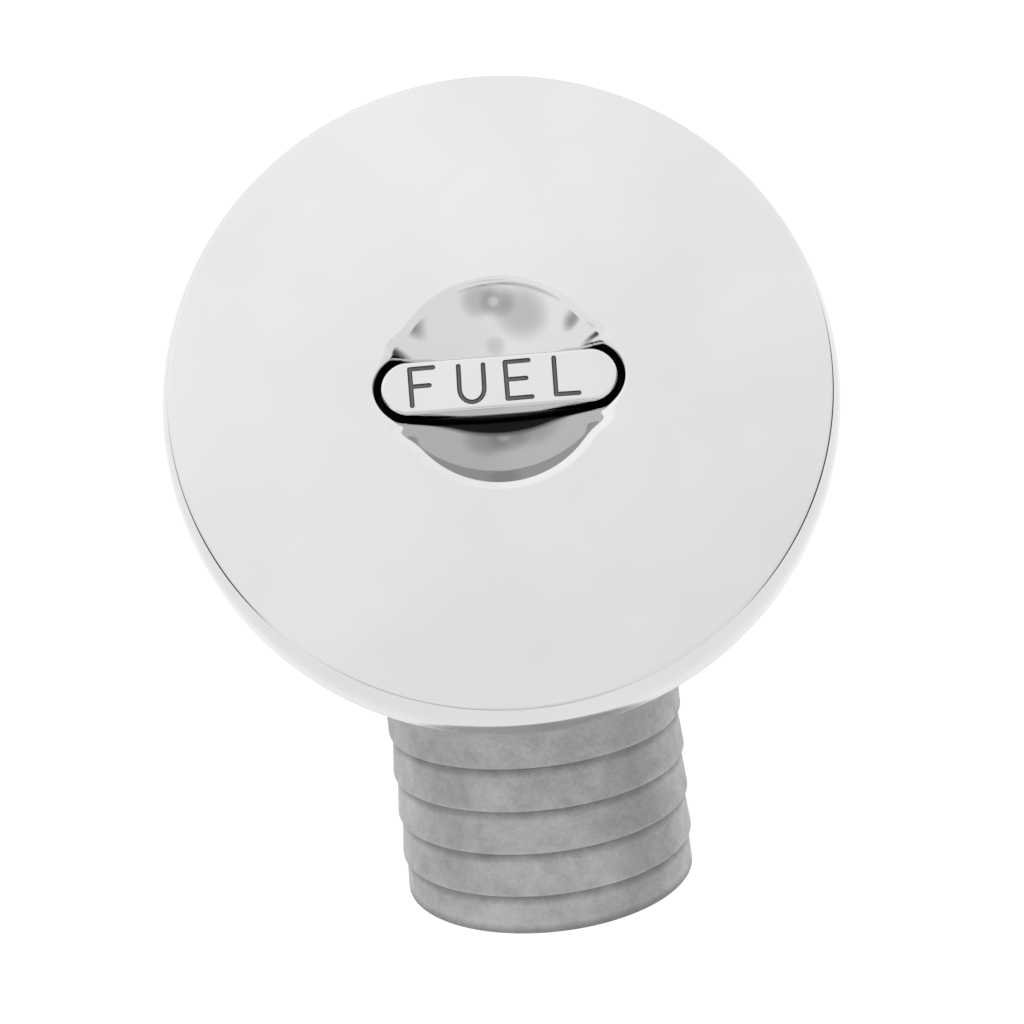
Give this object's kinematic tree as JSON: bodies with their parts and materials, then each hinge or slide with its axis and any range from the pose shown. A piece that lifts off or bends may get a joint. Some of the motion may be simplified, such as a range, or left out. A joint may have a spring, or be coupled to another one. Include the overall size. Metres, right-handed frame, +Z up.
{
  "type": "deck fill cap",
  "caption": "Round polished deck filler with a screw cap, a flush pull-up grip bar in a finger dish, and a slanted ringed hose neck.",
  "frame": {"origin": "centre of the flange's underside, on the deck's surface", "axes": "+Z up out of the deck, the hose neck leans down towards -Y, the grip bar lies along X, 1.7 degrees off it where the thread draws tight"},
  "size_m": [0.0864, 0.1083, 0.0741],
  "materials": {
    "polished_steel": "mirror polished stainless steel",
    "cast_steel": "matt, tumbled casting",
    "turned_steel": "satin, machined",
    "spring_steel": "drawn stainless wire and strip",
    "bronze": "machined bronze",
    "black_rubber": "moulded nitrile rubber",
    "fibre_sheet": "pressed gasket sheet"
  },
  "bodies": {
    "deck_fitting": {"deck_body": "cast_steel"},
    "gasket": {"rim_gasket": "black_rubber"},
    "cap": {"cap_cover": "polished_steel", "threaded_plug": "turned_steel", "plug_gasket": "fibre_sheet", "plug_o_ring": "black_rubber", "plug_screw_1": "turned_steel", "plug_screw_2": "turned_steel", "plug_screw_3": "turned_steel", "plug_screw_4": "turned_steel", "stem_bush_left": "bronze", "stem_bush_right": "bronze", "stem_o_ring_left": "black_rubber", "stem_o_ring_right": "black_rubber", "return_spring_left": "spring_steel", "return_spring_right": "spring_steel"},
    "handle": {"grip_bar": "polished_steel", "handle_stem_left": "turned_steel", "handle_stem_right": "turned_steel", "spring_washer_left": "turned_steel", "spring_washer_right": "turned_steel", "retaining_clip_left": "spring_steel", "retaining_clip_right": "spring_steel"}
  },
  "joints": [
    {"name": "cap_rise", "type": "slide", "parent": "deck_fitting", "child": "gasket", "axis": [0, 0, 1], "range_m": [0, 0.0241]},
    {"name": "cap_turn", "type": "hinge", "parent": "gasket", "child": "cap", "pos_m": [0, 0, 0], "axis": [0, 0, 1], "range_deg": [0, 2160]},
    {"name": "handle_pull", "type": "slide", "parent": "cap", "child": "handle", "axis": [0, 0, 1], "range_m": [0, 0.007], "stiffness_N_per_m": 900, "springref_m": -0.004, "deforming": ["return_spring_left", "return_spring_right"]}
  ],
  "couplings": [
    {"joint": "cap_rise", "follows": "cap_turn", "m_per_rad": 0.00063662}
  ]
}
